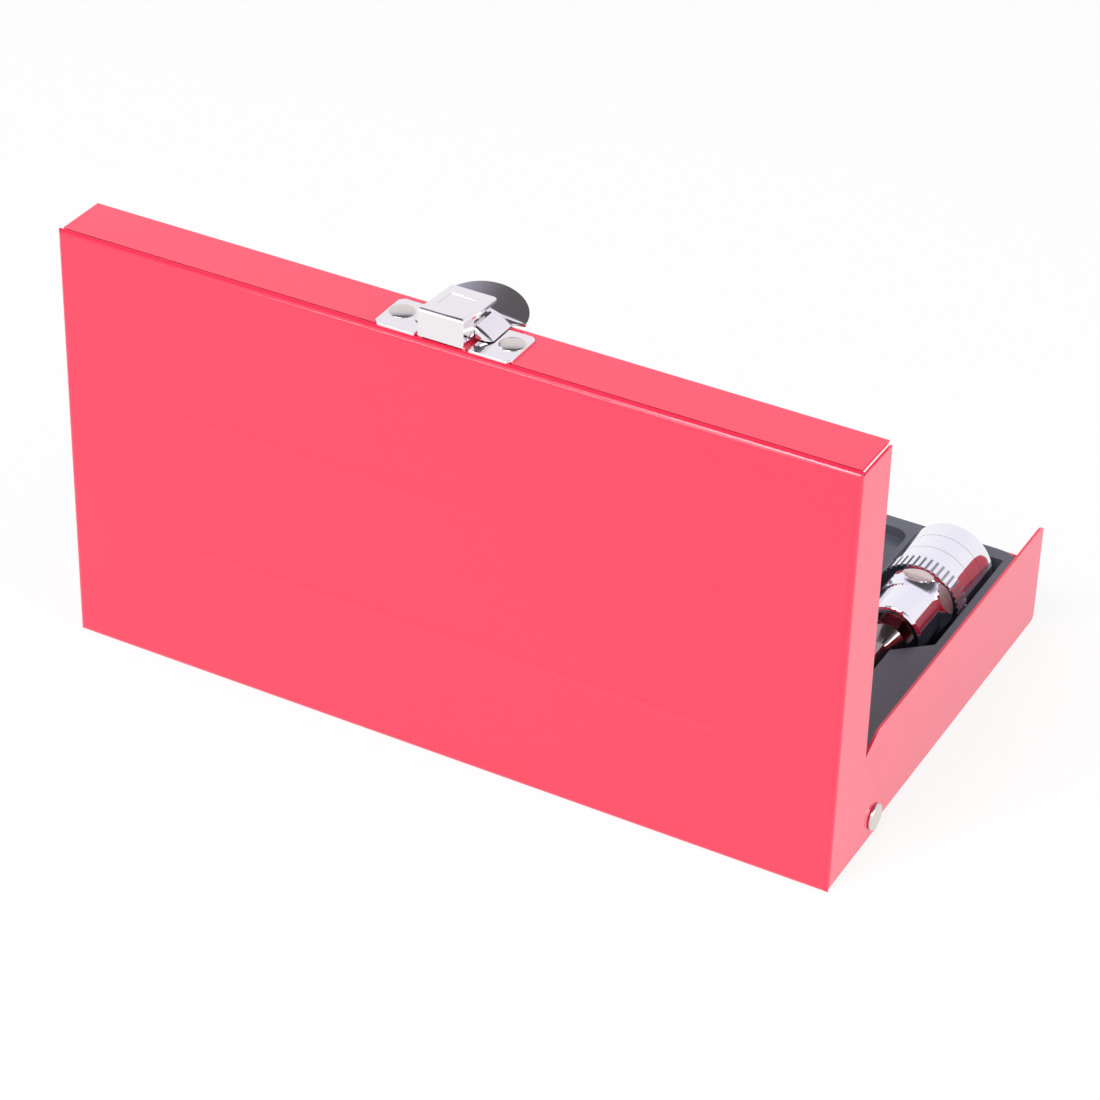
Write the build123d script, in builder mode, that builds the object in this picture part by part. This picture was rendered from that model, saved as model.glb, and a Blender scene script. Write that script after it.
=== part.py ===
from build123d import *
from math import sqrt
import os

# Hinged folded-sheet case for a row of long bit sockets, standing open.
# Millimetres. +Z is up and the latch side faces -Y. The origin is the centre of the
# base's underside. The lid is drawn open at a right angle, as it stands on the bench.

# ---- driving dimensions ------------------------------------------------------------

# sheet metal
sheet = 0.7                # thickness of the lid and base sheet
bend_radius = 1.6          # outside radius of every fold
seam_gap = 0.5             # slit where two folded walls of the base meet at a corner
seam_side = 0.8            # open corner of the lid, end of an end wall to the side wall's face
seam_end = 1.15            # the same corner, end of the side wall to the end wall's face
relief_radius = 0.6        # round relief at the inner end of an open corner
fit_over = 1.0             # how far a cutting shape runs past what it cuts

# lid
case_width = 216.0         # over the lid's side walls
lid_length = 119.0         # hinge edge to latch edge
lid_wall = 16.5            # depth of the lid's latch and hinge walls
lid_side_wall = 17.4       # depth of the side walls where the hinge ears begin
ear_reach = 29.4           # how far an ear stands out from the lid's face
ear_start = 27.5           # height where the ear's slope begins, from the hinge edge
ear_shoulder = 10.0        # height where the ear's slope ends
ear_chamfer = 3.4          # cut corner of the ear beside the hinge edge

# base
front_gap = 4.8            # closed lid to the base's latch wall, for the striker and the rivet tails
base_front_wall = 18.4     # height of the latch wall
base_rear_wall = 12.0      # height of the hinge wall
base_corner = 2.6          # rounded upper front corner of a side wall
base_slope_run = 7.2       # sloped upper rear corner of a side wall, along Y
base_slope_drop = 3.8      # the same slope, along Z
side_gap = 0.5             # running gap between lid and base side walls
lid_gap = 0.5              # gap between the closed lid and the base walls

# hinge
hinge_from_face = 25.7     # axis to the lid's outer face
hinge_from_edge = 6.5      # axis to the lid's hinge edge, and above the bench
rivet_radius = 1.8
rivet_running = 0.06       # radial clearance of the ear on its rivet
rivet_head_radius = 3.5
rivet_head_height = 0.9
rivet_crown = 0.6          # rounding of the head
rivet_tail_radius = 2.9
rivet_tail_height = 0.8
rivet_end_gap = 0.1        # play between an ear and its rivet head

# raised racetrack bead on the lid's face
bead_length = 191.0
bead_width = 42.5
bead_band = 3.6
bead_height = 0.4
bead_slope = 1.0           # run of each of the bead's sloping sides
bead_from_hinge_edge = 57.0

# tray
tray_top = 19.8            # height of the tray's rim above the bench
tray_wall = 1.2
tray_gap = 0.6             # play between the tray and the base
tray_lift = 0.1            # play under the tray
tray_corner = 10.5
tray_edge = 0.7            # rounding of the tray's rim
pocket_clearance = 0.4     # round a socket's widest ring
bit_clearance = 0.6        # round a bit
pocket_front_room = 4.4    # space ahead of a drive end
pocket_taper = 8.0         # length of a pocket's slanting inner end
pocket_tip_room = 1.5      # space past a bit's tip
finger_depth = 2.8         # shallow recess beside the drive ends
finger_length = 26.0
finger_ridge = 1.6         # ridge left beside the outer pockets
finger_corner = 4.2
relief_depth = 1.6         # notch in the tray for a hinge rivet's tail
relief_room = 0.8

# bit sockets
bit_sizes = [5, 6, 7, 8, 10, 12]   # hexagons across flats, from the -X end
socket_end_room = 22.0     # outer sockets' axes to the lid's side faces
socket_axis_height = 18.0
drive_end = 10.7           # drive end to the inside of the base's front edge, along Y
drive_radius = 11.6
drive_length = 18.6
drive_square = 12.75
drive_depth = 15.0
drive_chamfer = 0.7
knurl_radius = 12.1
knurl_length = 5.2
knurl_teeth = 44
knurl_depth = 0.45
knurl_groove = 0.7         # width of a groove between two teeth
collar_radius = 10.2
collar_length = 4.2
collar_flat = 9.3          # axis to a milled flat
collar_flats = 6
barrel_radius = 8.6
socket_length = 40.0
mouth_radius = 6.9
mouth_depth = 2.2
bit_length = 95.0          # drive end to bit tip
bit_shank = 10.0           # across flats inside the barrel
bit_seat = 13.0            # length of shank held in the barrel
bit_shank_out = 2.4
bit_cone = 5.5
bit_tip_chamfer = 0.5

# latch
plate_length = 37.0
plate_width = 13.1
plate_thickness = 0.8
plate_from_face = 0.9      # plate's edge to the lid's outer face
plate_corner = 1.2
notch_length = 14.6
notch_depth = 6.2
latch_rivet_pitch = 29.8
latch_rivet_from_face = 8.4
latch_rivet_radius = 1.6
latch_rivet_head = 3.3
latch_rivet_head_height = 0.8
latch_rivet_crown = 0.6    # rounding of the head
latch_rivet_tail = 2.6
hood_width = 12.3
hood_from_face = 0.6
hood_length = 15.6
hood_height = 8.4
hood_fall = 1.1            # the roof is lower at the back
hood_round = 1.0
hood_sheet = 0.8
hood_foot = 5.0            # length of the hood's side walls that reach the lid
hood_window = 1.9          # gap between a side wall and the lever's arch
hood_panel = 7.0           # raised square on the hood
hood_panel_height = 0.25
pin_radius = 0.9
pin_from_face = 3.6
pin_height = 2.9
pin_running = 0.05
lever_sheet = 0.8
lever_arch_radius = 16.7
lever_arch_height = 5.0
lever_half_width = 10.8
lever_lip_round = 1.3      # rounding where the lever's front lip meets its arch
lever_knuckle_half = 4.6
lever_gap = 0.3
lever_end = 17.4           # where the arch ends and the thumb tab begins, from the face
tab_half_width = 13.6
tab_length = 8.0
tab_rise = 0.5             # how much higher the tab's edge is than its root
tooth_half_width = 4.0
tooth_reach = 1.9          # inwards from the lid's outer latch wall
spring_sheet = 0.4
spring_half_width = 3.6
spring_from_foot = 1.0
spring_from_back = 1.2
striker_width = 24.0
striker_sheet = 0.9
striker_height = 12.0
striker_clearance = 0.3    # between the tooth and the striker's lip as they pass

# ---- places worked out from them ---------------------------------------------------

closed_height = hinge_from_face + hinge_from_edge
lid_half = case_width / 2
base_depth = lid_length - 2 * sheet - lid_gap - front_gap
base_half = lid_half - sheet - side_gap
base_inner_half = base_half - sheet
base_front = -base_depth / 2
base_rear = base_depth / 2
base_side_wall = closed_height - sheet - lid_gap
hinge_y = base_rear - (hinge_from_edge - sheet - lid_gap)
hinge_z = hinge_from_edge
face_y = hinge_y + hinge_from_face        # outer face of the standing lid
latch_z = lid_length                      # outer side of the lid's latch wall

tray_half = base_inner_half - tray_gap
tray_front = base_front + sheet + tray_gap
tray_rear = base_rear - sheet - tray_gap
tray_floor = sheet + tray_lift

socket_count = len(bit_sizes)
socket_span = case_width - 2 * socket_end_room
socket_pitch = socket_span / (socket_count - 1)
socket_xs = [-socket_span / 2 + i * socket_pitch for i in range(socket_count)]
drive_y = base_front + drive_end
knurl_y = drive_y + drive_length
collar_y = knurl_y + knurl_length
mouth_y = drive_y + socket_length
tip_y = drive_y + bit_length
pocket_radius = knurl_radius + pocket_clearance
pocket_front = drive_y - pocket_front_room

root3 = sqrt(3)
near = 0.01                # for picking out edges by their place


# ---- lid ---------------------------------------------------------------------------

ear_side = [
    (face_y, 0),
    (face_y, lid_length),
    (face_y - lid_wall, lid_length),
    (face_y - lid_side_wall, ear_start),
    (face_y - ear_reach, ear_shoulder),
    (face_y - ear_reach, ear_chamfer / 2),
    (face_y - ear_reach + ear_chamfer, 0),
]

bead_out = face_y + bead_height

with BuildPart() as bead_hill:
    with BuildSketch(Plane.XZ.offset(-face_y)) as hill_foot:
        with Locations((0, bead_from_hinge_edge)):
            SlotOverall(bead_length, bead_width)
    with BuildSketch(Plane.XZ.offset(-bead_out)) as hill_top:
        with Locations((0, bead_from_hinge_edge)):
            SlotOverall(bead_length - 2 * bead_slope, bead_width - 2 * bead_slope)
    loft(ruled=True)

bead_inner_foot = 2 * bead_band
bead_inner_top = 2 * (bead_band - bead_slope)

with BuildPart() as bead_dip:
    with BuildSketch(Plane.XZ.offset(-face_y)) as dip_foot:
        with Locations((0, bead_from_hinge_edge)):
            SlotOverall(bead_length - bead_inner_foot, bead_width - bead_inner_foot)
    with BuildSketch(Plane.XZ.offset(-bead_out)) as dip_top:
        with Locations((0, bead_from_hinge_edge)):
            SlotOverall(bead_length - bead_inner_top, bead_width - bead_inner_top)
    loft(ruled=True)

with BuildPart() as lid_shell:
    with BuildSketch(Plane.YZ) as ear_profile:
        with BuildLine():
            Polyline(*ear_side, close=True)
        make_face()
    extrude(amount=lid_half, both=True)
    with BuildSketch(Plane.YZ) as lid_hollow:
        with BuildLine():
            Polyline(
                (face_y - sheet, sheet),
                (face_y - sheet, lid_length - sheet),
                (face_y - ear_reach - fit_over, lid_length - sheet),
                (face_y - ear_reach - fit_over, sheet),
                close=True,
            )
        make_face()
    extrude(amount=lid_half - sheet, both=True, mode=Mode.SUBTRACT)
    # the hinge wall is no deeper than the latch wall
    with BuildSketch(Plane.XY) as hinge_wall_trim:
        with Locations((0, face_y - lid_wall - ear_reach / 2)):
            Rectangle(2 * (lid_half - sheet), ear_reach)
    extrude(amount=sheet * 2, mode=Mode.SUBTRACT)
    folds = lid_shell.edges().filter_by_position(Axis.Y, face_y - near, face_y + near)
    fillet(folds, bend_radius)
    inner_face = face_y - sheet
    inner_folds = lid_shell.edges().filter_by_position(Axis.Y, inner_face - near, inner_face + near)
    fillet(inner_folds, bend_radius - sheet)
    # the side walls and the end walls stop short of each other at the corners
    with BuildSketch(Plane.XZ.offset(-(face_y - bend_radius))) as open_corners:
        with Locations((0, lid_length / 2)):
            with GridLocations(2 * lid_half, lid_length, 2, 2):
                Rectangle(2 * seam_side, 2 * seam_end)
    extrude(amount=ear_reach, mode=Mode.SUBTRACT)
    with BuildSketch(Plane.YZ) as reliefs:
        with Locations((face_y - bend_radius, lid_length / 2)):
            with GridLocations(0, lid_length - seam_end, 1, 2):
                Circle(relief_radius)
    extrude(amount=lid_half + fit_over, both=True, mode=Mode.SUBTRACT)
    # holes for the hinge rivets
    with BuildSketch(Plane.YZ) as ear_hole:
        with Locations((hinge_y, hinge_z)):
            Circle(rivet_radius + rivet_running)
    extrude(amount=lid_half + fit_over, both=True, mode=Mode.SUBTRACT)
    # holes for the latch rivets
    with BuildSketch(Plane.XY.offset(latch_z)) as latch_holes:
        with Locations((0, face_y - latch_rivet_from_face)):
            with GridLocations(latch_rivet_pitch, 0, 2, 1):
                Circle(latch_rivet_radius)
    extrude(amount=-sheet * 2, mode=Mode.SUBTRACT)
    # raised racetrack bead, with its groove inside
    add(bead_hill.part - bead_dip.part)
    with BuildSketch(Plane.XZ.offset(-inner_face)) as bead_groove:
        with Locations((0, bead_from_hinge_edge)):
            SlotOverall(bead_length - 2 * bead_slope, bead_width - 2 * bead_slope)
            SlotOverall(bead_length - bead_inner_top, bead_width - bead_inner_top, mode=Mode.SUBTRACT)
    extrude(amount=-bead_height, mode=Mode.SUBTRACT)

lid_shell.part.label = "lid_shell"


# ---- base --------------------------------------------------------------------------

with BuildPart() as base_room:
    with BuildSketch(Plane.XY.offset(sheet)) as room_floor:
        Rectangle(2 * base_inner_half, base_depth - 2 * sheet)
    extrude(amount=base_side_wall)
    fillet(base_room.faces().sort_by(Axis.Z)[0].edges(), bend_radius - sheet)

with BuildPart() as base_shell:
    with BuildSketch(Plane.YZ) as base_side:
        with BuildLine():
            Polyline(
                (base_front, 0),
                (base_rear, 0),
                (base_rear, base_side_wall - base_slope_drop),
                (base_rear - base_slope_run, base_side_wall),
                (base_front, base_side_wall),
                close=True,
            )
        make_face()
        top_front = base_side.vertices().sort_by(Axis.Y)[0:2].sort_by(Axis.Z)[-1]
        fillet(top_front, base_corner)
    extrude(amount=base_half, both=True)
    folds = base_shell.edges().filter_by_position(Axis.Z, -near, near)
    fillet(folds, bend_radius)
    add(base_room.part, mode=Mode.SUBTRACT)
    # the latch and hinge walls are lower than the side walls
    with BuildSketch(Plane.XZ.offset(-base_front - 2 * sheet)) as front_trim:
        with Locations((0, base_front_wall)):
            Rectangle(2 * base_inner_half, base_side_wall, align=(Align.CENTER, Align.MIN))
    extrude(amount=3 * sheet, mode=Mode.SUBTRACT)
    with BuildSketch(Plane.XZ.offset(-base_rear - sheet)) as rear_trim:
        with Locations((0, base_rear_wall)):
            Rectangle(2 * base_inner_half, base_side_wall, align=(Align.CENTER, Align.MIN))
    extrude(amount=3 * sheet, mode=Mode.SUBTRACT)
    # open seams at the four upright corners
    for side in (-1, 1):
        with BuildSketch(Plane.XZ) as corner_seam:
            with Locations((side * (base_inner_half - seam_gap / 2), bend_radius)):
                Rectangle(seam_gap, base_side_wall, align=(Align.CENTER, Align.MIN))
        extrude(amount=base_depth, both=True, mode=Mode.SUBTRACT)
    with BuildSketch(Plane.YZ) as wall_hole:
        with Locations((hinge_y, hinge_z)):
            Circle(rivet_radius)
    extrude(amount=base_half + fit_over, both=True, mode=Mode.SUBTRACT)

base_shell.part.label = "base_shell"


# ---- hinge rivets ------------------------------------------------------------------

os.makedirs("parts", exist_ok=True)

for side, name in ((-1, "hinge_rivet_left"), (1, "hinge_rivet_right")):
    # the tail is inside the base and the domed head outside the ear
    with BuildPart() as hinge_rivet:
        with BuildSketch(Plane.YZ.offset(side * base_inner_half)) as tail:
            with Locations((hinge_y, hinge_z)):
                Circle(rivet_tail_radius)
        extrude(amount=-side * rivet_tail_height)
        with BuildSketch(Plane.YZ.offset(side * base_inner_half)) as shank:
            with Locations((hinge_y, hinge_z)):
                Circle(rivet_radius)
        extrude(amount=side * (lid_half + rivet_end_gap - base_inner_half))
        with BuildSketch(Plane.YZ.offset(side * (lid_half + rivet_end_gap))) as head:
            with Locations((hinge_y, hinge_z)):
                Circle(rivet_head_radius)
        extrude(amount=side * rivet_head_height)
        crown = hinge_rivet.faces().sort_by(Axis.X)[-1 if side > 0 else 0]
        fillet(crown.edges(), rivet_crown)
    hinge_rivet.part.label = name
    export_step(hinge_rivet.part, "parts/" + name + ".step")


# ---- tray --------------------------------------------------------------------------

def bit_half(size):
    # half the width that a hexagonal bit takes up
    return size / root3


def pocket(x, size, grow, top):
    # the hollow for one socket and its bit; grow gives the outside of its wall
    wide = pocket_radius + grow
    narrow = bit_half(size) + bit_clearance + grow
    front = pocket_front - grow
    mouth = mouth_y + grow / 2
    taper_end = mouth + pocket_taper
    back = tip_y + pocket_tip_room + grow
    with BuildPart() as space:
        with BuildSketch(Plane.XZ.offset(-front)) as trough:
            with Locations((x, socket_axis_height)):
                Circle(wide)
                Rectangle(2 * wide, top, align=(Align.CENTER, Align.MIN))
        extrude(amount=-(taper_end - front))
        # wide for the socket, narrow for the bit
        with BuildSketch(Plane.XY) as plan:
            with BuildLine():
                Polyline(
                    (x - wide, front),
                    (x + wide, front),
                    (x + wide, mouth),
                    (x + narrow, taper_end),
                    (x - narrow, taper_end),
                    (x - wide, mouth),
                    close=True,
                )
            make_face()
        extrude(amount=socket_axis_height + top, mode=Mode.INTERSECT)
        with BuildSketch(Plane.XZ.offset(-mouth)) as channel:
            with Locations((x, socket_axis_height)):
                Circle(narrow)
                Rectangle(2 * narrow, top, align=(Align.CENTER, Align.MIN))
        extrude(amount=-(back - mouth))
    return space.part


pockets = [pocket(x, size, 0, tray_top) for x, size in zip(socket_xs, bit_sizes)]
pocket_walls = [pocket(x, size, tray_wall, tray_top) for x, size in zip(socket_xs, bit_sizes)]

tray_depth = tray_rear - tray_front
tray_mid = (tray_front + tray_rear) / 2
finger_half = socket_span / 2 - pocket_radius - finger_ridge
finger_mid = pocket_front + finger_length / 2

# the space under the tray, round the walls of the pockets and of the finger recess
with BuildPart() as tray_hollow:
    with BuildSketch(Plane.XY.offset(tray_floor)) as underside:
        with Locations((0, tray_mid)):
            RectangleRounded(2 * (tray_half - tray_wall), tray_depth - 2 * tray_wall, tray_corner - tray_wall)
    extrude(amount=tray_top - tray_wall - tray_floor)
    with BuildSketch(Plane.XY.offset(tray_top - finger_depth - tray_wall)) as finger_wall:
        with Locations((0, finger_mid)):
            RectangleRounded(
                2 * (finger_half + tray_wall), finger_length + 2 * tray_wall, finger_corner + tray_wall
            )
    extrude(amount=finger_depth + tray_wall, mode=Mode.SUBTRACT)
    for pocket_wall in pocket_walls:
        add(pocket_wall, mode=Mode.SUBTRACT)

with BuildPart() as tray_insert:
    with BuildSketch(Plane.XY.offset(tray_floor)) as tray_plan:
        with Locations((0, tray_mid)):
            RectangleRounded(2 * tray_half, tray_depth, tray_corner)
    extrude(amount=tray_top - tray_floor)
    rim = tray_insert.edges().filter_by_position(Axis.Z, tray_top - near, tray_top + near)
    fillet(rim, tray_edge)
    add(tray_hollow.part, mode=Mode.SUBTRACT)
    with BuildSketch(Plane.XY.offset(tray_top - finger_depth)) as finger_recess:
        with Locations((0, finger_mid)):
            RectangleRounded(2 * finger_half, finger_length, finger_corner)
    extrude(amount=finger_depth, mode=Mode.SUBTRACT)
    for hollow in pockets:
        add(hollow, mode=Mode.SUBTRACT)
    # notches for the tails of the hinge rivets
    for side in (-1, 1):
        with BuildSketch(Plane.XY.offset(tray_floor)) as notch:
            with Locations((side * tray_half, hinge_y)):
                Rectangle(2 * relief_depth, 2 * (rivet_tail_radius + relief_room))
        extrude(amount=hinge_z + rivet_tail_radius + relief_room - tray_floor, mode=Mode.SUBTRACT)

tray_insert.part.label = "tray_insert"


# ---- bit sockets -------------------------------------------------------------------

def bit_across(size):
    # the shank in the barrel is never smaller than the working end
    return max(bit_shank, size)


def socket_body(x, size):
    axis_plane = Plane(origin=(x, 0, socket_axis_height), x_dir=(1, 0, 0), z_dir=(0, 1, 0))
    half_plane = Plane(origin=(x, 0, socket_axis_height), x_dir=(0, 1, 0), z_dir=(0, 0, 1))
    with BuildPart() as body:
        with BuildSketch(half_plane) as half:
            with BuildLine():
                Polyline(
                    (drive_y, 0),
                    (drive_y, drive_radius - drive_chamfer),
                    (drive_y + drive_chamfer, drive_radius),
                    (knurl_y, drive_radius),
                    (knurl_y, collar_radius),
                    (collar_y, collar_radius),
                    (collar_y + drive_chamfer, collar_radius),
                    (collar_y + collar_length, barrel_radius),
                    (mouth_y - drive_chamfer, barrel_radius),
                    (mouth_y, barrel_radius - drive_chamfer),
                    (mouth_y, 0),
                    close=True,
                )
            make_face()
        revolve(axis=Axis((x, 0, socket_axis_height), (0, 1, 0)))
        # straight-knurled grip ring
        with BuildSketch(axis_plane.offset(knurl_y)) as ring:
            Circle(knurl_radius)
            with PolarLocations(knurl_radius, knurl_teeth):
                Rectangle(2 * knurl_depth, knurl_groove, mode=Mode.SUBTRACT)
        extrude(amount=knurl_length)
        # milled flats where the collar meets the barrel
        with BuildSketch(axis_plane.offset(collar_y)) as flats:
            Circle(knurl_radius)
            RegularPolygon(collar_flat, collar_flats, major_radius=False, mode=Mode.SUBTRACT)
        extrude(amount=collar_length, mode=Mode.SUBTRACT)
        with BuildSketch(axis_plane.offset(drive_y)) as square:
            Rectangle(drive_square, drive_square)
        extrude(amount=drive_depth, mode=Mode.SUBTRACT)
        with BuildSketch(axis_plane.offset(mouth_y - mouth_depth)) as mouth:
            Circle(max(mouth_radius, bit_half(bit_across(size)) + bit_clearance / 2))
        extrude(amount=mouth_depth, mode=Mode.SUBTRACT)
        with BuildSketch(axis_plane.offset(mouth_y - mouth_depth - bit_seat)) as seat:
            RegularPolygon(bit_across(size) / 2, 6, major_radius=False)
        extrude(amount=bit_seat, mode=Mode.SUBTRACT)
    return body.part


def bit_body(x, size):
    axis_plane = Plane(origin=(x, 0, socket_axis_height), x_dir=(1, 0, 0), z_dir=(0, 1, 0))
    shank_start = mouth_y - mouth_depth - bit_seat
    shank_end = mouth_y + bit_shank_out
    with BuildPart() as body:
        with BuildSketch(axis_plane.offset(shank_start)) as shank:
            RegularPolygon(bit_across(size) / 2, 6, major_radius=False)
        extrude(amount=shank_end - shank_start)
        if size < bit_shank:
            with BuildSketch(axis_plane.offset(shank_end)) as cone_root:
                Circle(bit_shank / 2)
            with BuildSketch(axis_plane.offset(shank_end + bit_cone)) as cone_tip:
                Circle(size / 2)
            loft()
        with BuildSketch(axis_plane.offset(shank_end)) as blade:
            RegularPolygon(size / 2, 6, major_radius=False)
        extrude(amount=tip_y - shank_end)
        tip = body.faces().sort_by(Axis.Y)[-1]
        chamfer(tip.edges(), bit_tip_chamfer)
    return body.part


for number, (x, size) in enumerate(zip(socket_xs, bit_sizes), start=1):
    socket_piece = socket_body(x, size)
    socket_piece.label = "socket_" + str(number)
    export_step(socket_piece, "parts/" + socket_piece.label + ".step")
    bit_piece = bit_body(x, size)
    bit_piece.label = "bit_" + str(number)
    export_step(bit_piece, "parts/" + bit_piece.label + ".step")


# ---- latch on the lid --------------------------------------------------------------

def from_face(distance):
    # a place on the latch wall, measured from the lid's outer face
    return face_y - distance


plate_mid = from_face(plate_from_face + plate_width / 2)

with BuildPart() as latch_plate:
    with BuildSketch(Plane.XY.offset(latch_z)) as plate_outline:
        with Locations((0, plate_mid)):
            Rectangle(plate_length, plate_width)
        chamfer(plate_outline.vertices(), plate_corner)
        with Locations((0, from_face(plate_from_face))):
            Rectangle(notch_length, notch_depth, align=(Align.CENTER, Align.MAX), mode=Mode.SUBTRACT)
        with Locations((0, from_face(latch_rivet_from_face))):
            with GridLocations(latch_rivet_pitch, 0, 2, 1):
                Circle(latch_rivet_radius, mode=Mode.SUBTRACT)
    extrude(amount=plate_thickness)

latch_plate.part.label = "latch_plate"

with BuildPart() as latch_rivets:
    with BuildSketch(Plane.XY.offset(latch_z - sheet)) as shanks:
        with Locations((0, from_face(latch_rivet_from_face))):
            with GridLocations(latch_rivet_pitch, 0, 2, 1):
                Circle(latch_rivet_radius)
    extrude(amount=sheet + plate_thickness)
    with BuildSketch(Plane.XY.offset(latch_z + plate_thickness)) as heads:
        with Locations((0, from_face(latch_rivet_from_face))):
            with GridLocations(latch_rivet_pitch, 0, 2, 1):
                Circle(latch_rivet_head)
    extrude(amount=latch_rivet_head_height)
    crown_z = latch_z + plate_thickness + latch_rivet_head_height
    crowns = latch_rivets.edges().filter_by_position(Axis.Z, crown_z - near, crown_z + near)
    fillet(crowns, latch_rivet_crown)
    with BuildSketch(Plane.XY.offset(latch_z - sheet)) as tails:
        with Locations((0, from_face(latch_rivet_from_face))):
            with GridLocations(latch_rivet_pitch, 0, 2, 1):
                Circle(latch_rivet_tail)
    extrude(amount=-latch_rivet_head_height)

latch_rivets.part.label = "latch_rivets"

arch_centre_z = latch_z + lever_arch_height - lever_arch_radius
tab_drop = lever_arch_radius - sqrt(lever_arch_radius**2 - tab_half_width**2) + lever_sheet
pin_y = from_face(pin_from_face)
pin_z = latch_z + pin_height


def arch_height(x):
    # outer side of the lever's arch above the latch wall
    return arch_centre_z - latch_z + sqrt(lever_arch_radius**2 - x**2)


side_wall_foot = arch_height(hood_width / 2) + hood_window

hood_front = from_face(hood_from_face)
hood_back = hood_front - hood_length
hood_back_height = hood_height - hood_fall
hood_back_inside = hood_back_height - hood_sheet

with BuildPart() as latch_hood:
    with BuildSketch(Plane.YZ) as hood_side:
        with BuildLine():
            Polyline(
                (hood_front, latch_z),
                (hood_front, latch_z + hood_height),
                (hood_back, latch_z + hood_back_height),
                (hood_back, latch_z),
                close=True,
            )
        make_face()
    extrude(amount=hood_width / 2, both=True)
    roof = latch_hood.faces().sort_by(Axis.Z)[-1]
    fillet(roof.edges(), hood_round)
    with BuildSketch(Plane.YZ) as hood_hollow:
        with BuildLine():
            Polyline(
                (hood_front - hood_sheet, latch_z),
                (hood_front - hood_sheet, latch_z + hood_height - hood_sheet),
                (hood_back + hood_sheet, latch_z + hood_back_inside),
                (hood_back + hood_sheet, latch_z),
                close=True,
            )
        make_face()
    extrude(amount=hood_width / 2 - hood_sheet, both=True, mode=Mode.SUBTRACT)
    # the front wall ends level with the plate
    with BuildSketch(Plane.XY.offset(latch_z)) as front_foot:
        with Locations((0, hood_front)):
            Rectangle(hood_width, hood_sheet, align=(Align.CENTER, Align.MAX))
    extrude(amount=plate_thickness, mode=Mode.SUBTRACT)
    # the lever passes out below the side walls and the back wall
    with BuildSketch(Plane.XY.offset(latch_z)) as lever_way:
        with Locations((0, hood_front - hood_foot)):
            Rectangle(2 * hood_width, hood_length, align=(Align.CENTER, Align.MAX))
    extrude(amount=side_wall_foot, mode=Mode.SUBTRACT)
    with BuildSketch(Plane.XY.offset(latch_z)) as back_way:
        with Locations((0, hood_back)):
            Rectangle(hood_width - 2 * hood_sheet, 3 * hood_sheet)
    extrude(amount=hood_back_inside, mode=Mode.SUBTRACT)
    with BuildSketch(Plane.YZ) as pin_hole:
        with Locations((pin_y, pin_z)):
            Circle(pin_radius)
    extrude(amount=hood_width, both=True, mode=Mode.SUBTRACT)
    # raised square on the sloping roof
    roof_mid = Plane(
        origin=(0, (hood_front + hood_back) / 2, latch_z + (hood_height + hood_back_height) / 2),
        x_dir=(1, 0, 0),
        z_dir=(0, -hood_fall, hood_length),
    )
    with BuildSketch(roof_mid) as panel:
        Rectangle(hood_panel, hood_panel)
    extrude(amount=hood_panel_height, both=True)

latch_hood.part.label = "latch_hood"

with BuildPart() as latch_pin:
    with BuildSketch(Plane.YZ) as pin_section:
        with Locations((pin_y, pin_z)):
            Circle(pin_radius)
    extrude(amount=hood_width / 2, both=True)

latch_pin.part.label = "latch_pin"

lever_start = from_face(hood_from_face + hood_foot + lever_gap)
lever_foot = plate_thickness + lever_gap
lever_back = from_face(lever_end)
arch_top = latch_z + lever_arch_height

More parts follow.
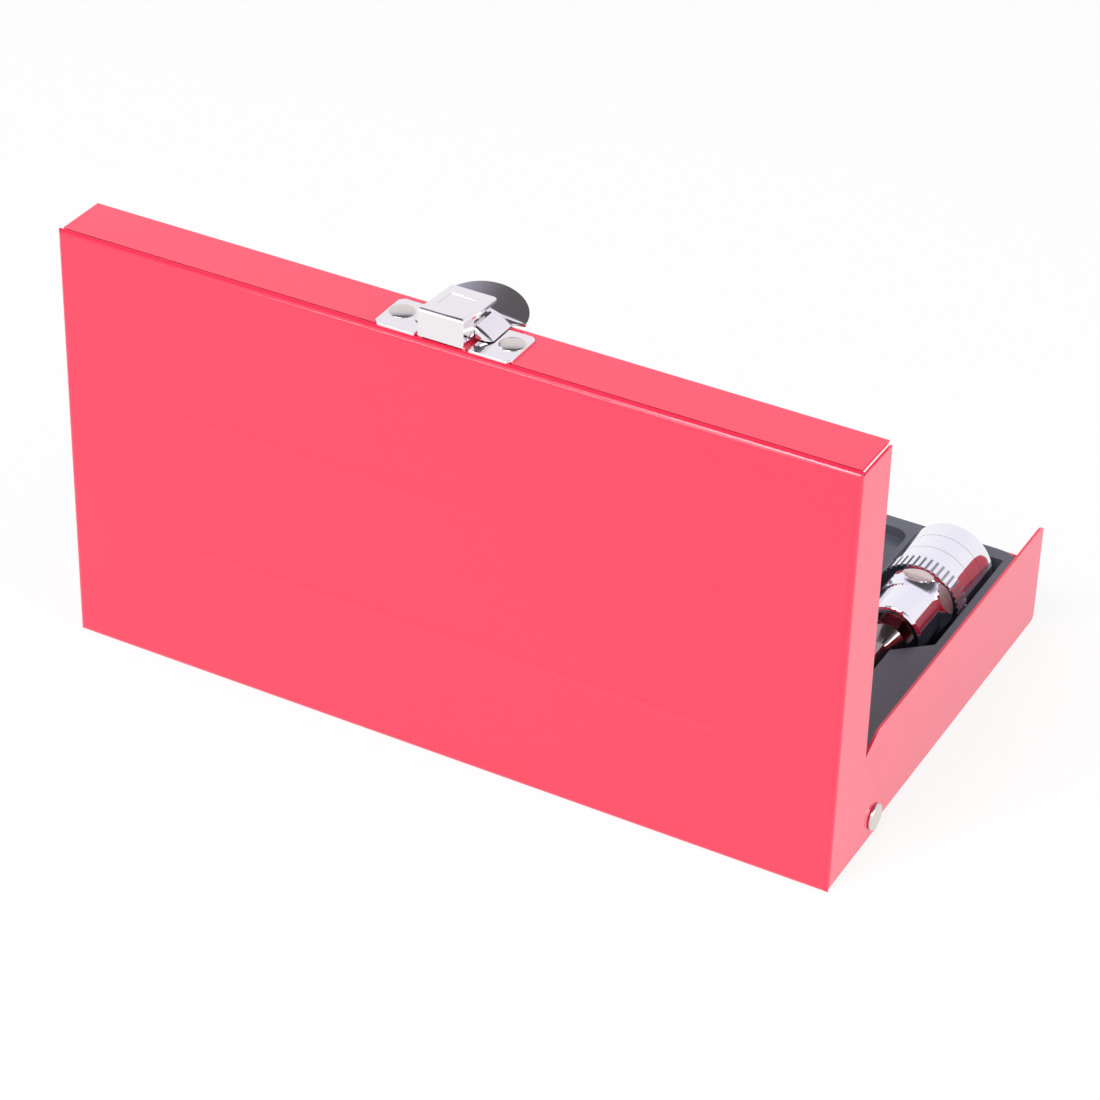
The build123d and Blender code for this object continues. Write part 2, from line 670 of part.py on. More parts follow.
with BuildPart() as latch_lever:
    # arched plate under the hood, closed at the front by a lip
    with BuildSketch(Plane.XZ.offset(-lever_start)) as arch:
        with Locations((0, arch_centre_z)):
            Circle(lever_arch_radius)
        with Locations((0, latch_z + lever_foot)):
            Rectangle(
                2 * lever_half_width, lever_arch_height, align=(Align.CENTER, Align.MIN), mode=Mode.INTERSECT
            )
    extrude(amount=lever_start - lever_back)
    lip_edge = latch_lever.edges().filter_by_position(Axis.Y, lever_start - near, lever_start + near)
    fillet(lip_edge.filter_by(GeomType.CIRCLE), lever_lip_round)
    with BuildSketch(Plane.XZ.offset(-(lever_start - lever_sheet))) as under_arch:
        with Locations((0, arch_centre_z)):
            Circle(lever_arch_radius - lever_sheet)
    extrude(amount=lever_start - lever_back, mode=Mode.SUBTRACT)
    # thumb tab, the same arch turned a little outwards, with a rounded edge
    with BuildSketch(Plane.XZ.offset(-lever_back)) as tab_arch:
        with Locations((0, arch_centre_z)):
            Circle(lever_arch_radius)
            Circle(lever_arch_radius - lever_sheet, mode=Mode.SUBTRACT)
        with Locations((0, latch_z + lever_arch_height)):
            Rectangle(2 * tab_half_width, 2 * tab_drop, mode=Mode.INTERSECT)
    tab = extrude(amount=2 * tab_length, dir=(0, -tab_length, tab_rise), mode=Mode.PRIVATE)
    with BuildSketch(Plane.XY.offset(arch_top - 2 * tab_drop)) as tab_outline:
        with Locations((0, lever_back)):
            Ellipse(tab_half_width, tab_length)
    tab_reach = extrude(amount=4 * tab_drop, mode=Mode.PRIVATE)
    add(tab & tab_reach)
    # knuckle that turns on the pin, and the web that joins it to the arch
    with BuildSketch(Plane.YZ) as knuckle:
        with Locations((pin_y, pin_z)):
            Circle(pin_radius + pin_running + lever_sheet)
        with BuildLine():
            Polyline(
                (pin_y, pin_z + pin_radius + pin_running),
                (pin_y, pin_z + pin_radius + pin_running + lever_sheet),
                (lever_start - lever_sheet, arch_top - lever_sheet / 2),
                (lever_start - lever_sheet, arch_top - 2 * lever_sheet),
                close=True,
            )
        make_face()
    extrude(amount=lever_knuckle_half, both=True)
    with BuildSketch(Plane.YZ) as pin_bore:
        with Locations((pin_y, pin_z)):
            Circle(pin_radius + pin_running)
    extrude(amount=lever_knuckle_half, both=True, mode=Mode.SUBTRACT)
    # tooth that reaches in past the latch wall's edge
    with BuildSketch(Plane.XY.offset(latch_z - tooth_reach)) as tooth:
        with Locations((0, lever_back)):
            Rectangle(2 * tooth_half_width, lever_sheet, align=(Align.CENTER, Align.MIN))
    extrude(amount=tooth_reach + lever_arch_height - lever_sheet)

latch_lever.part.label = "latch_lever"


def roof_under(y):
    # height of the underside of the hood's roof
    inside_run = hood_length - 2 * hood_sheet
    return latch_z + hood_height - hood_sheet - hood_fall * (hood_front - hood_sheet - y) / inside_run


# leaf spring between the hood's roof and the lever
spring_front = hood_front - hood_foot - spring_from_foot
spring_back = hood_back + hood_sheet + spring_from_back

with BuildPart() as latch_spring:
    # it lies against the sloping underside of the roof
    with BuildSketch(Plane.YZ) as leaf:
        with BuildLine():
            Polyline(
                (spring_front, roof_under(spring_front)),
                (spring_back, roof_under(spring_back)),
                (spring_back, roof_under(spring_back) - spring_sheet),
                (spring_front, roof_under(spring_front) - spring_sheet),
                close=True,
            )
        make_face()
    extrude(amount=spring_half_width, both=True)

latch_spring.part.label = "latch_spring"

# striker on the base, which the tooth passes when the lid comes down
tooth_tip_y = face_y - hinge_from_face - (lid_length - hinge_from_edge) + tooth_reach
striker_front = tooth_tip_y + striker_clearance
lip_top = closed_height - lever_end + striker_clearance + striker_sheet

with BuildPart() as striker:
    with BuildSketch(Plane.YZ) as striker_side:
        with BuildLine():
            Polyline(
                (base_front, lip_top),
                (base_front, lip_top - striker_height),
                (base_front - striker_sheet, lip_top - striker_height),
                (base_front - striker_sheet, lip_top - striker_sheet),
                (striker_front, lip_top - striker_sheet),
                (striker_front, lip_top),
                close=True,
            )
        make_face()
    extrude(amount=striker_width / 2, both=True)

striker.part.label = "striker"

for piece in (
    lid_shell,
    base_shell,
    tray_insert,
    latch_plate,
    latch_rivets,
    latch_hood,
    latch_pin,
    latch_lever,
    latch_spring,
    striker,
):
    export_step(piece.part, "parts/" + piece.part.label + ".step")
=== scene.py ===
import math
import bpy
from mathutils import Matrix, Vector


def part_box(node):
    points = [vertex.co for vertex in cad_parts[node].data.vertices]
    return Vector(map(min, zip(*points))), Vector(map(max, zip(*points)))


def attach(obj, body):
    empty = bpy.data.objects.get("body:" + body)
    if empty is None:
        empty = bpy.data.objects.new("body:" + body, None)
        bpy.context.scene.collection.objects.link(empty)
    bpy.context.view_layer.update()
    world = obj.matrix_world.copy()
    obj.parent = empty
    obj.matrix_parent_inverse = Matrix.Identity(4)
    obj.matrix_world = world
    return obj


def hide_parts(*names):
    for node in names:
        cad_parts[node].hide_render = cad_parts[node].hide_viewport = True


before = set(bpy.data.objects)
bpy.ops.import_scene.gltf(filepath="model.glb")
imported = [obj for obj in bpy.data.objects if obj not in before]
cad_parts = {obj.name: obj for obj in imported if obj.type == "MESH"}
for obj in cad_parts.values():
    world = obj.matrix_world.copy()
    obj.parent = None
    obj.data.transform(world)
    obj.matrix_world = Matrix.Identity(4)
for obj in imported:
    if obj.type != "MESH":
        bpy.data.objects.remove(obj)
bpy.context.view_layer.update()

mm = 0.001


cleanUp = {
    "join": 0.002 * mm,        # points closer than this become one
    "flat": 0.4,               # faces that meet at a smaller angle become one, degrees
    "normalWeight": 80,        # how far large faces sway the shading of the small ones
}


def deselectAll():
    if bpy.context.object and bpy.context.object.mode != "OBJECT":
        bpy.ops.object.mode_set(mode="OBJECT")
    bpy.ops.object.select_all(action="DESELECT")


def makeActive(obj):
    deselectAll()
    obj.hide_set(False)
    obj.select_set(True)
    bpy.context.view_layer.objects.active = obj


def applyModifiers(obj):
    makeActive(obj)
    for modifier in list(obj.modifiers):
        bpy.ops.object.modifier_apply(modifier=modifier.name)


def smoothByAngle(obj, degrees):
    makeActive(obj)
    bpy.ops.object.shade_smooth_by_angle(angle=math.radians(degrees))


def weightNormals(obj):
    weighted = obj.modifiers.new("weighted", "WEIGHTED_NORMAL")
    weighted.keep_sharp = True
    weighted.weight = cleanUp["normalWeight"]
    applyModifiers(obj)


def mergedCopy(node, name):
    # a copy of a CAD node with its loose triangles joined and its flat faces made whole
    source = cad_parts[node]
    copy = source.copy()
    copy.data = source.data.copy()
    copy.name = name
    for key in list(copy.keys()):
        if key.startswith("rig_"):
            del copy[key]
    copy.parent = None
    bpy.context.scene.collection.objects.link(copy)
    makeActive(copy)
    bpy.ops.object.mode_set(mode="EDIT")
    bpy.ops.mesh.select_all(action="SELECT")
    bpy.ops.mesh.remove_doubles(threshold=cleanUp["join"])
    bpy.ops.mesh.dissolve_limited(angle_limit=math.radians(cleanUp["flat"]), delimit={"NORMAL"})
    bpy.ops.object.mode_set(mode="OBJECT")
    return copy


def softened(node, name, look, reshape=None):
    # the same shape with its sharp edges broken, so that they catch the light
    copy = mergedCopy(node, name)
    if reshape:
        reshape(copy)
    bevel = copy.modifiers.new("edges", "BEVEL")
    bevel.width = look["edge"]
    bevel.segments = look["segments"]
    bevel.limit_method = "ANGLE"
    bevel.angle_limit = math.radians(look["edgeAngle"])
    bevel.use_clamp_overlap = True
    bevel.miter_outer = "MITER_ARC"
    applyModifiers(copy)
    smoothByAngle(copy, look["smoothAngle"])
    weightNormals(copy)
    return copy


def cutAway(obj, cutter):
    boolean = obj.modifiers.new("cut", "BOOLEAN")
    boolean.operation = "DIFFERENCE"
    boolean.solver = "EXACT"
    boolean.object = cutter
    applyModifiers(obj)
    bpy.data.objects.remove(cutter)


def keepBelow(obj, place, normal):
    # cuts off what lies on the normal's side of the place, and closes the cut
    makeActive(obj)
    bpy.ops.object.mode_set(mode="EDIT")
    bpy.ops.mesh.select_all(action="SELECT")
    bpy.ops.mesh.bisect(plane_co=place, plane_no=normal, clear_outer=True, use_fill=True)
    bpy.ops.object.mode_set(mode="OBJECT")


def addBox(low, high):
    deselectAll()
    centre = [(a + b) / 2 for a, b in zip(low, high)]
    bpy.ops.mesh.primitive_cube_add(size=1, location=centre, scale=[b - a for a, b in zip(low, high)])
    box = bpy.context.object
    bpy.ops.object.transform_apply(location=True, rotation=True, scale=True)
    return box


def joinAll(obj, others):
    makeActive(obj)
    for other in others:
        other.select_set(True)
    bpy.ops.object.join()


def finishPiece(obj, body, materials, stands):
    obj.data.materials.clear()
    for material in materials:
        obj.data.materials.append(material)
    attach(obj, body)
    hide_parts(*stands)


def paintFaces(obj, index, wanted):
    # another material for the faces that are picked by their centre and normal
    for face in obj.data.polygons:
        if wanted(face.center, face.normal):
            face.material_index = index


def newMaterial(name):
    material = bpy.data.materials.new(name)
    material.use_nodes = True
    tree = material.node_tree
    coords = tree.nodes.new("ShaderNodeTexCoord")
    return material, tree, tree.nodes["Principled BSDF"], coords


def noiseNode(tree, coords, scale, detail=2.0, stretch=(1, 1, 1)):
    mapping = tree.nodes.new("ShaderNodeMapping")
    mapping.inputs["Scale"].default_value = stretch
    noise = tree.nodes.new("ShaderNodeTexNoise")
    noise.inputs["Scale"].default_value = scale
    noise.inputs["Detail"].default_value = detail
    tree.links.new(coords.outputs["Object"], mapping.inputs["Vector"])
    tree.links.new(mapping.outputs["Vector"], noise.inputs["Vector"])
    return noise.outputs["Fac"]


def rangeNode(tree, source, low, high):
    mapRange = tree.nodes.new("ShaderNodeMapRange")
    mapRange.inputs["To Min"].default_value = low
    mapRange.inputs["To Max"].default_value = high
    tree.links.new(source, mapRange.inputs["Value"])
    return mapRange.outputs["Result"]


def tintNode(tree, factor, darker, lighter):
    mix = tree.nodes.new("ShaderNodeMix")
    mix.data_type = "RGBA"
    mix.inputs["A"].default_value = darker
    mix.inputs["B"].default_value = lighter
    tree.links.new(factor, mix.inputs["Factor"])
    return mix.outputs["Result"]


def bumpNode(tree, source, strength, distance):
    bump = tree.nodes.new("ShaderNodeBump")
    bump.inputs["Strength"].default_value = strength
    bump.inputs["Distance"].default_value = distance
    tree.links.new(source, bump.inputs["Height"])
    return bump.outputs["Normal"]


redPaint = {
    "darker": (0.85, 0.015, 0.058, 1),
    "lighter": (0.90, 0.019, 0.068, 1),
    "cloudScale": 14,
    "peelScale": 420,          # faint orange peel of sprayed paint
    "peelStrength": 0.04,
    "peelDepth": 0.05 * mm,
    "roughness": (0.16, 0.22),
    "coat": 0.42,
    "coatRoughness": 0.06,
    "sheen": 0.16,             # the milky bloom that the paint has at low angles
    "sheenRoughness": 0.55,
    "sheenTint": (1.0, 0.60, 1.0, 1),
}


def makeRedPaint():
    material, tree, shader, coords = newMaterial("red enamel")
    cloud = noiseNode(tree, coords, redPaint["cloudScale"], 3)
    peel = noiseNode(tree, coords, redPaint["peelScale"])
    tint = tintNode(tree, cloud, redPaint["darker"], redPaint["lighter"])
    tree.links.new(tint, shader.inputs["Base Color"])
    tree.links.new(rangeNode(tree, cloud, *redPaint["roughness"]), shader.inputs["Roughness"])
    normal = bumpNode(tree, peel, redPaint["peelStrength"], redPaint["peelDepth"])
    tree.links.new(normal, shader.inputs["Normal"])
    shader.inputs["Coat Weight"].default_value = redPaint["coat"]
    shader.inputs["Coat Roughness"].default_value = redPaint["coatRoughness"]
    shader.inputs["Sheen Weight"].default_value = redPaint["sheen"]
    shader.inputs["Sheen Roughness"].default_value = redPaint["sheenRoughness"]
    shader.inputs["Sheen Tint"].default_value = redPaint["sheenTint"]
    return material


trayPlastic = {
    "darker": (0.098, 0.106, 0.140, 1),
    "lighter": (0.118, 0.127, 0.166, 1),
    "cloudScale": 25,
    "grainScale": 1100,
    "grainStrength": 0.08,
    "grainDepth": 0.04 * mm,
    "roughness": (0.22, 0.32),
}


def makeTrayPlastic():
    material, tree, shader, coords = newMaterial("slate plastic")
    cloud = noiseNode(tree, coords, trayPlastic["cloudScale"])
    grain = noiseNode(tree, coords, trayPlastic["grainScale"], 3)
    tint = tintNode(tree, cloud, trayPlastic["darker"], trayPlastic["lighter"])
    tree.links.new(tint, shader.inputs["Base Color"])
    tree.links.new(rangeNode(tree, cloud, *trayPlastic["roughness"]), shader.inputs["Roughness"])
    normal = bumpNode(tree, grain, trayPlastic["grainStrength"], trayPlastic["grainDepth"])
    tree.links.new(normal, shader.inputs["Normal"])
    return material


finer = {"times": 9, "depth": 0.02 * mm}   # the small bumps of every metal, beside its smears

metals = {
    "bright chrome": {
        "color": (0.88, 0.88, 0.93, 1), "roughness": (0.03, 0.08), "scale": 60, "bump": 0.015,
        "stretch": (1, 1, 1),
    },
    "polished nickel": {
        "color": (0.86, 0.83, 0.85, 1), "roughness": (0.06, 0.14), "scale": 90, "bump": 0.03,
        "stretch": (1, 1, 1),
    },
    "satin nickel": {
        "color": (0.70, 0.67, 0.63, 1), "roughness": (0.18, 0.32), "scale": 260, "bump": 0.10,
        "stretch": (1, 1, 1),
    },
    "dark nickel": {
        "color": (0.33, 0.27, 0.26, 1), "roughness": (0.10, 0.20), "scale": 180, "bump": 0.05,
        "stretch": (1, 0.15, 1),
    },
    "spring steel": {
        "color": (0.42, 0.42, 0.44, 1), "roughness": (0.25, 0.35), "scale": 200, "bump": 0.05,
        "stretch": (1, 1, 1),
    },
    "milled steel": {
        "color": (0.62, 0.60, 0.56, 1), "roughness": (0.50, 0.62), "scale": 420, "bump": 0.35,
        "stretch": (1, 0.08, 1),
    },
    # darker chrome for the knurl grooves: painted shade in the recesses
    "groove painted shade chrome": {
        "color": (0.42, 0.42, 0.46, 1), "roughness": (0.30, 0.42), "scale": 300, "bump": 0.10,
        "stretch": (1, 1, 1),
    },
}

scribedShade = {
    "places": (-32.2 * mm, -38.4 * mm),   # painted shade of two fine grooves round the drive end, along Y; the grooves are not cut
    "halfWidth": 0.11 * mm,
    "color": (0.42, 0.42, 0.48, 1),
}


# darkens two thin bands of the chrome: painted shade standing in for fine grooves
def paintScribedShade(material, plainColor):
    tree = material.node_tree
    shader = tree.nodes["Principled BSDF"]
    coords = tree.nodes.new("ShaderNodeTexCoord")
    split = tree.nodes.new("ShaderNodeSeparateXYZ")
    tree.links.new(coords.outputs["Object"], split.inputs["Vector"])
    onLine = []
    for place in scribedShade["places"]:
        compare = tree.nodes.new("ShaderNodeMath")
        compare.operation = "COMPARE"
        compare.inputs[1].default_value = place
        compare.inputs[2].default_value = scribedShade["halfWidth"]
        tree.links.new(split.outputs["Y"], compare.inputs[0])
        onLine.append(compare.outputs[0])
    either = tree.nodes.new("ShaderNodeMath")
    either.operation = "MAXIMUM"
    tree.links.new(onLine[0], either.inputs[0])
    tree.links.new(onLine[1], either.inputs[1])
    tint = tintNode(tree, either.outputs[0], plainColor, scribedShade["color"])
    tree.links.new(tint, shader.inputs["Base Color"])


def makeMetal(name):
    spec = metals[name]
    material, tree, shader, coords = newMaterial(name)
    smear = noiseNode(tree, coords, spec["scale"], 3, spec["stretch"])
    fine = noiseNode(tree, coords, spec["scale"] * finer["times"], 2, spec["stretch"])
    shader.inputs["Base Color"].default_value = spec["color"]
    shader.inputs["Metallic"].default_value = 1.0
    tree.links.new(rangeNode(tree, smear, *spec["roughness"]), shader.inputs["Roughness"])
    normal = bumpNode(tree, fine, spec["bump"], finer["depth"])
    tree.links.new(normal, shader.inputs["Normal"])
    return material


paint = makeRedPaint()
plastic = makeTrayPlastic()
chrome = makeMetal("bright chrome")
nickel = makeMetal("polished nickel")
rivetMetal = makeMetal("satin nickel")
bitMetal = makeMetal("dark nickel")
springMetal = makeMetal("spring steel")
milled = makeMetal("milled steel")
grooveShadeMetal = makeMetal("groove painted shade chrome")
paintScribedShade(chrome, metals["bright chrome"]["color"])
print("materials made")

lidLook = {"edge": 0.12 * mm, "segments": 2, "edgeAngle": 32, "smoothAngle": 18}
sheetLook = {"edge": 0.12 * mm, "segments": 2, "edgeAngle": 32, "smoothAngle": 40}
wallTip = {"radius": 4.0 * mm, "over": 5 * mm}
trayLook = {"edge": 0.35 * mm, "segments": 3, "edgeAngle": 32, "smoothAngle": 40}
rivetLook = {"edge": 0.10 * mm, "segments": 2, "edgeAngle": 32, "smoothAngle": 40}

lid = softened("lid_shell", "lid_enamelled", lidLook)
finishPiece(lid, "lid", [paint], ["lid_shell"])


def roundWallTips(obj):
    # the upper front corners of the two side walls
    low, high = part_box("base_shell")
    radius, over = wallTip["radius"], wallTip["over"]
    corner = addBox(
        (low.x - over, low.y - over, high.z - radius), (high.x + over, low.y + radius, high.z + over)
    )
    deselectAll()
    bpy.ops.mesh.primitive_cylinder_add(
        vertices=64, radius=radius, depth=high.x - low.x + 4 * over, rotation=(0, math.pi / 2, 0),
        location=(0, low.y + radius, high.z - radius),
    )
    cutAway(corner, bpy.context.object)
    cutAway(obj, corner)


base = softened("base_shell", "base_enamelled", sheetLook, roundWallTips)
finishPiece(base, "base", [paint], ["base_shell"])

tray = softened("tray_insert", "tray_moulded", trayLook)
finishPiece(tray, "base", [plastic], ["tray_insert"])

for side in ("left", "right"):
    rivet = softened("hinge_rivet_" + side, "hinge_rivet_head_" + side, rivetLook)
    finishPiece(rivet, "base", [rivetMetal], ["hinge_rivet_" + side])

strikerPiece = softened("striker", "striker_bent", sheetLook)
finishPiece(strikerPiece, "base", [nickel], ["striker"])
print("case made")

plateLook = {"edge": 0.15 * mm, "segments": 2, "edgeAngle": 32, "smoothAngle": 40}
hoodLook = {"edge": 0.12 * mm, "segments": 3, "edgeAngle": 40, "smoothAngle": 45}
leverLook = {"edge": 0.18 * mm, "segments": 3, "edgeAngle": 40, "smoothAngle": 45}
springLook = {"edge": 0.05 * mm, "segments": 2, "edgeAngle": 32, "smoothAngle": 40}

plate = softened("latch_plate", "latch_wings", plateLook)
finishPiece(plate, "lid", [nickel], ["latch_plate"])

domes = {"radius": 3.3 * mm, "height": 0.55 * mm, "sunk": 0.05 * mm}


def domeHeads(obj):
    # low domes in place of the flat heads
    low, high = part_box("latch_rivets")
    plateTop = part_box("latch_plate")[1].z
    keepBelow(obj, (0, 0, plateTop), (0, 0, 1))
    made = []
    for x in (low.x + domes["radius"], high.x - domes["radius"]):
        deselectAll()
        bpy.ops.mesh.primitive_uv_sphere_add(
            segments=48, ring_count=32, radius=domes["radius"], location=(x, (low.y + high.y) / 2, plateTop)
        )
        dome = bpy.context.object
        dome.scale = (1, 1, domes["height"] / domes["radius"])
        bpy.ops.object.transform_apply(location=True, rotation=True, scale=True)
        keepBelow(dome, (0, 0, plateTop - domes["sunk"]), (0, 0, -1))
        made.append(dome)
    joinAll(obj, made)


heads = softened("latch_rivets", "latch_rivet_heads", rivetLook, domeHeads)
finishPiece(heads, "lid", [rivetMetal], ["latch_rivets"])

panel = {"half": 3.55 * mm, "raised": 0.15 * mm, "drop": 0.50 * mm, "rise": 1.1 * mm, "run": 15.6 * mm}


def sinkPanel(obj):
    # the square in the hood's roof is pressed in
    low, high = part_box("latch_hood")
    middle = (low.y + high.y) / 2
    roof = high.z - panel["rise"] / 2
    for point in obj.data.vertices:
        above = point.co.z - (roof + panel["rise"] / panel["run"] * (point.co.y - middle))
        inside = abs(point.co.x) < panel["half"] and abs(point.co.y - middle) < panel["half"]
        if inside and above > panel["raised"]:
            point.co.z -= panel["drop"]
    makeActive(obj)
    bpy.ops.object.mode_set(mode="EDIT")
    bpy.ops.mesh.select_all(action="SELECT")
    bpy.ops.mesh.normals_make_consistent(inside=False)
    bpy.ops.object.mode_set(mode="OBJECT")


hood = softened("latch_hood", "latch_hood_pressed", hoodLook, sinkPanel)
finishPiece(hood, "lid", [nickel], ["latch_hood"])

thumbTab = {
    "archRadius": 16.7 * mm,
    "archHalf": 10.8 * mm,
    "archTop": 124.0 * mm,
    "archEnd": 61.4 * mm,      # along Y, where the arch begins to flatten
    "root": 59.3 * mm,         # along Y, the crease between the arch and the tab
    "rootHeight": 120.9 * mm,
    "rootHalf": 12.0 * mm,
    "middle": -1.5 * mm,       # the tab sits a little to one side
    "length": 8.8 * mm,
    "slope": 0.30,             # the tab turns up by this much for each unit along
    "droop": 0.5 * mm,
    "sheet": 0.8 * mm,
    "across": 48,
    "along": 36,
    "neck": 0.3,               # share of the rows between the arch and the crease
    "toothHalf": 4.0 * mm,
    "toothFoot": 117.1 * mm,
    "tipHalf": 0.02,           # share of the width that is left at the very edge
}


def archPoint(u):
    # u runs from -1 to 1 across the arch
    x = u * thumbTab["archHalf"]
    drop = thumbTab["archRadius"] - math.sqrt(thumbTab["archRadius"] ** 2 - x ** 2)
    return Vector((x, thumbTab["archEnd"], thumbTab["archTop"] - drop))


def rootPoint(u):
    x = thumbTab["middle"] + u * thumbTab["rootHalf"]
    return Vector((x, thumbTab["root"], thumbTab["rootHeight"] - thumbTab["droop"] * u * u))


def tabPoint(u, v):
    # v runs from 0 at the arch to 1 at the tab's edge
    if v < thumbTab["neck"]:
        share = v / thumbTab["neck"]
        flatten = share * share * (3 - 2 * share)
        start, end = archPoint(u), rootPoint(u)
        return Vector((
            start.x + (end.x - start.x) * flatten,
            start.y + (end.y - start.y) * share,
            start.z + (end.z - start.z) * flatten,
        ))
    turn = (v - thumbTab["neck"]) / (1 - thumbTab["neck"]) * math.pi / 2
    reach = thumbTab["length"] * math.sin(turn)
    narrowed = u * max(math.cos(turn), thumbTab["tipHalf"])
    place = rootPoint(narrowed)
    return Vector((place.x, place.y - reach, place.z + thumbTab["slope"] * reach))


def reshapeLever(obj):
    # the arch flattens into a half-round tab that turns up
    keepBelow(obj, (0, thumbTab["archEnd"], 0), (0, -1, 0))
    deselectAll()
    bpy.ops.mesh.primitive_grid_add(
        x_subdivisions=thumbTab["across"], y_subdivisions=thumbTab["along"], size=2, location=(0, 0, 0)
    )
    tab = bpy.context.object
    for point in tab.data.vertices:
        point.co = tabPoint(point.co.x, (1 - point.co.y) / 2)
    thicken = tab.modifiers.new("sheet", "SOLIDIFY")
    thicken.thickness = thumbTab["sheet"]
    thicken.offset = -1
    applyModifiers(tab)
    tooth = addBox(
        (-thumbTab["toothHalf"], thumbTab["root"], thumbTab["toothFoot"]),
        (thumbTab["toothHalf"], thumbTab["root"] + thumbTab["sheet"], thumbTab["rootHeight"]),
    )
    joinAll(obj, [tab, tooth])


lever = softened("latch_lever", "latch_lever_pressed", leverLook, reshapeLever)
finishPiece(lever, "lever", [nickel], ["latch_lever"])

pin = softened("latch_pin", "latch_pin_turned", rivetLook)
finishPiece(pin, "lid", [rivetMetal], ["latch_pin"])

leaf = softened("latch_spring", "latch_leaf_spring", springLook)
finishPiece(leaf, "lid", [springMetal], ["latch_spring"])
print("latch made")

socketLook = {
    "edge": 0.10 * mm,
    "segments": 2,
    "edgeAngle": 32,
    "smoothAngle": 40,
    "axisHeight": 18.0 * mm,
    "collarStart": 24.1 * mm,  # from the drive end
    "collarEnd": 28.2 * mm,
    "flatNear": 9.2 * mm,      # from the axis
    "flatFar": 9.7 * mm,
    "ringStart": 18.6 * mm,    # grip ring, from the drive end
    "ringEnd": 23.8 * mm,
    "grooveFoot": 11.62 * mm,  # from the axis
    "grooveTop": 12.02 * mm,
    "flatTilt": 0.02,          # most that a milled flat's normal leans along the axis
    "grooveTilt": 0.3,         # the same for a groove's faces
}
bitLook = {"edge": 0.12 * mm, "segments": 2, "edgeAngle": 32, "smoothAngle": 40}


def milledFlat(node):
    # picks the flat faces that are cut into the collar
    low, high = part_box(node)
    middle = (low.x + high.x) / 2
    start = low.y + socketLook["collarStart"]
    end = low.y + socketLook["collarEnd"]

    def wanted(centre, normal):
        away = math.hypot(centre.x - middle, centre.z - socketLook["axisHeight"])
        level = abs(normal.y) < socketLook["flatTilt"]
        onFlat = socketLook["flatNear"] < away < socketLook["flatFar"]
        return level and onFlat and start < centre.y < end

    return wanted


def knurlGroove(node):
    # picks the floors and walls of the grooves in the grip ring, which get a darker metal as painted shade
    low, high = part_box(node)
    middle = (low.x + high.x) / 2
    start = low.y + socketLook["ringStart"]
    end = low.y + socketLook["ringEnd"]

    def wanted(centre, normal):
        away = math.hypot(centre.x - middle, centre.z - socketLook["axisHeight"])
        level = abs(normal.y) < socketLook["grooveTilt"]
        inGroove = socketLook["grooveFoot"] < away < socketLook["grooveTop"]
        return level and inGroove and start < centre.y < end

    return wanted


socketNames = sorted(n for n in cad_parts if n.startswith("socket_"))
for socketName in socketNames:
    number = socketName.split("_")[1]
    body = "bit_socket_" + number
    socket = softened(socketName, "socket_chromed_" + number, socketLook)
    finishPiece(socket, body, [chrome, milled, grooveShadeMetal], [socketName])
    paintFaces(socket, 1, milledFlat(socketName))
    # the knurl grooves get the darker metal as painted shade
    paintFaces(socket, 2, knurlGroove(socketName))
    bit = softened("bit_" + number, "bit_ground_" + number, bitLook)
    finishPiece(bit, body, [bitMetal], ["bit_" + number])
print("bit sockets made")

view = {
    "place": (-0.36112, 0.70040, 0.54492),
    "yaw": -27.909,            # turn from straight ahead, degrees
    "pitch": 33.784,           # downwards
    "roll": 1.6123,
    "lens": 117.8,
    "sensor": 36.0,
    "nearest": 0.01,
    "farthest": 50,
}


def makeCamera():
    yaw, pitch, roll = (math.radians(view[k]) for k in ("yaw", "pitch", "roll"))
    ahead = Vector((-math.sin(yaw) * math.cos(pitch), -math.cos(yaw) * math.cos(pitch), -math.sin(pitch)))
    side = ahead.cross(Vector((0, 0, 1))).normalized()
    up = side.cross(ahead)
    right = side * math.cos(roll) + up * math.sin(roll)
    upright = up * math.cos(roll) - side * math.sin(roll)
    deselectAll()
    bpy.ops.object.camera_add(location=view["place"])
    camera = bpy.context.object
    turn = Matrix((right, upright, -ahead)).transposed()
    camera.matrix_world = Matrix.Translation(Vector(view["place"])) @ turn.to_4x4()
    camera.data.lens = view["lens"]
    camera.data.sensor_width = view["sensor"]
    camera.data.clip_start = view["nearest"]
    camera.data.clip_end = view["farthest"]
    bpy.context.scene.camera = camera


studio = {
    "floorSize": 8.0,
    "floorColor": (0.90, 0.90, 0.90, 1),
    "floorRoughness": 0.9,
    "floorGlow": 0.86,          # share of plain white that the eye and the metal see in the floor
    "worldStrength": 0.46,
    "walls": (                  # what metal sees: pale walls up to a dim ceiling, by height
        (0.00, (1.00, 1.00, 1.00, 1)),
        (0.52, (0.97, 0.95, 1.00, 1)),
        (0.68, (0.93, 0.90, 1.00, 1)),
        (0.76, (0.50, 0.49, 0.60, 1)),
        (0.84, (0.13, 0.12, 0.13, 1)),
        (1.00, (0.07, 0.07, 0.07, 1)),
    ),
    "lamps": {
        "key": {"place": (0.2, 1.25, 1.45), "power": 26.0, "size": 0.9},
        "fill": {"place": (-1.7, 0.2, 0.8), "power": 14.0, "size": 1.0},
        "rim": {"place": (0.66, 1.58, 0.47), "power": 3.0, "size": 0.36},
    },
    "aim": (0, 0.04, 0.04),
}


def seenPlainly(tree):
    # one for the eye, for metal and for glass, and nothing for the light that falls on things
    lightPath = tree.nodes.new("ShaderNodeLightPath")
    seen = lightPath.outputs["Is Camera Ray"]
    for ray in ("Is Glossy Ray", "Is Transmission Ray"):
        either = tree.nodes.new("ShaderNodeMath")
        either.operation = "MAXIMUM"
        tree.links.new(seen, either.inputs[0])
        tree.links.new(lightPath.outputs[ray], either.inputs[1])
        seen = either.outputs[0]
    return seen


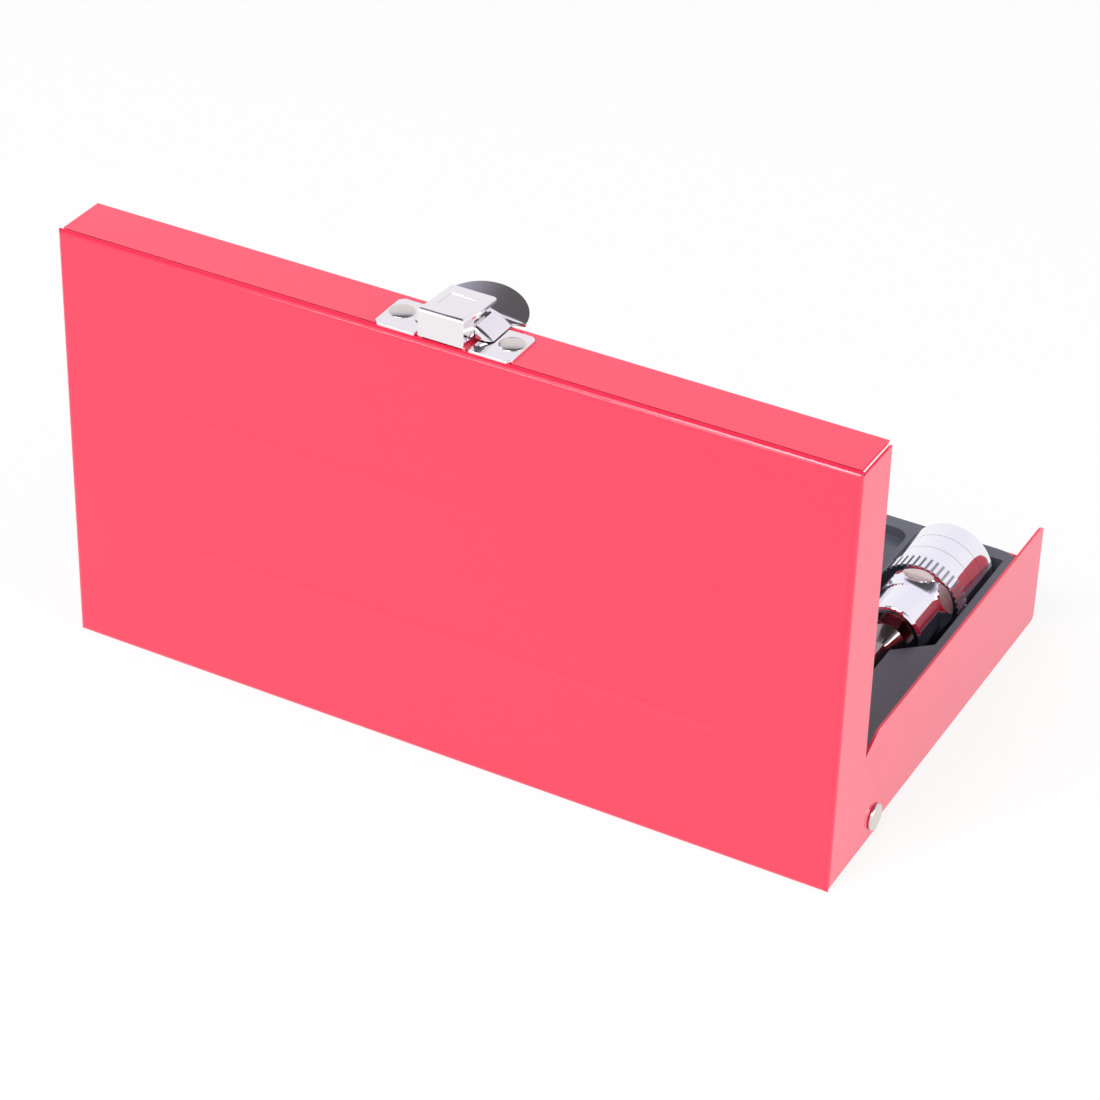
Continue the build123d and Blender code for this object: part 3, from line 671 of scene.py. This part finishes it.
def makeFloor():
    deselectAll()
    bpy.ops.mesh.primitive_plane_add(size=studio["floorSize"], location=(0, 0, 0))
    floor = bpy.context.object
    floor.name = "studio_floor"
    material, tree, shader, coords = newMaterial("pale floor")
    shader.inputs["Base Color"].default_value = studio["floorColor"]
    shader.inputs["Roughness"].default_value = studio["floorRoughness"]
    shader.inputs["Specular IOR Level"].default_value = 0.0
    glow = tree.nodes.new("ShaderNodeEmission")
    blend = tree.nodes.new("ShaderNodeMixShader")
    share = rangeNode(tree, seenPlainly(tree), 0.0, studio["floorGlow"])
    tree.links.new(share, blend.inputs["Fac"])
    tree.links.new(shader.outputs["BSDF"], blend.inputs[1])
    tree.links.new(glow.outputs["Emission"], blend.inputs[2])
    tree.links.new(blend.outputs["Shader"], tree.nodes["Material Output"].inputs["Surface"])
    floor.data.materials.append(material)


def backgroundNode(tree, strength):
    background = tree.nodes.new("ShaderNodeBackground")
    background.inputs["Color"].default_value = (1, 1, 1, 1)
    background.inputs["Strength"].default_value = strength
    return background


def mixByRay(tree, ray, otherwise, chosen):
    lightPath = tree.nodes.new("ShaderNodeLightPath")
    blend = tree.nodes.new("ShaderNodeMixShader")
    tree.links.new(lightPath.outputs[ray], blend.inputs["Fac"])
    tree.links.new(otherwise, blend.inputs[1])
    tree.links.new(chosen, blend.inputs[2])
    return blend.outputs["Shader"]


def makeWorld():
    world = bpy.data.worlds.new("studio")
    world.use_nodes = True
    tree = world.node_tree
    tree.nodes.remove(tree.nodes["Background"])
    even = backgroundNode(tree, studio["worldStrength"])
    plain = backgroundNode(tree, 1.0)
    mirrored = backgroundNode(tree, 1.0)
    coords = tree.nodes.new("ShaderNodeTexCoord")
    split = tree.nodes.new("ShaderNodeSeparateXYZ")
    ramp = tree.nodes.new("ShaderNodeValToRGB")
    tree.links.new(coords.outputs["Generated"], split.inputs["Vector"])
    tree.links.new(split.outputs["Z"], ramp.inputs["Fac"])
    stops = ramp.color_ramp.elements
    for i, (height, color) in enumerate(studio["walls"]):
        stop = stops[i] if i < 2 else stops.new(height)
        stop.position = height
        stop.color = color
    tree.links.new(ramp.outputs["Color"], mirrored.inputs["Color"])
    light = mixByRay(tree, "Is Glossy Ray", even.outputs["Background"], mirrored.outputs["Background"])
    light = mixByRay(tree, "Is Transmission Ray", light, plain.outputs["Background"])
    light = mixByRay(tree, "Is Camera Ray", light, plain.outputs["Background"])
    tree.links.new(light, tree.nodes["World Output"].inputs["Surface"])
    bpy.context.scene.world = world


def makeLamp(name, spec):
    deselectAll()
    bpy.ops.object.light_add(type="AREA", location=spec["place"])
    lamp = bpy.context.object
    lamp.name = name
    lamp.data.energy = spec["power"]
    lamp.data.size = spec["size"]
    aim = Vector(studio["aim"]) - Vector(spec["place"])
    lamp.rotation_euler = aim.to_track_quat("-Z", "Y").to_euler()


makeCamera()
makeFloor()
makeWorld()
for lampName, lampSpec in studio["lamps"].items():
    makeLamp(lampName, lampSpec)
bpy.context.scene.view_settings.view_transform = "Standard"
print("studio made")
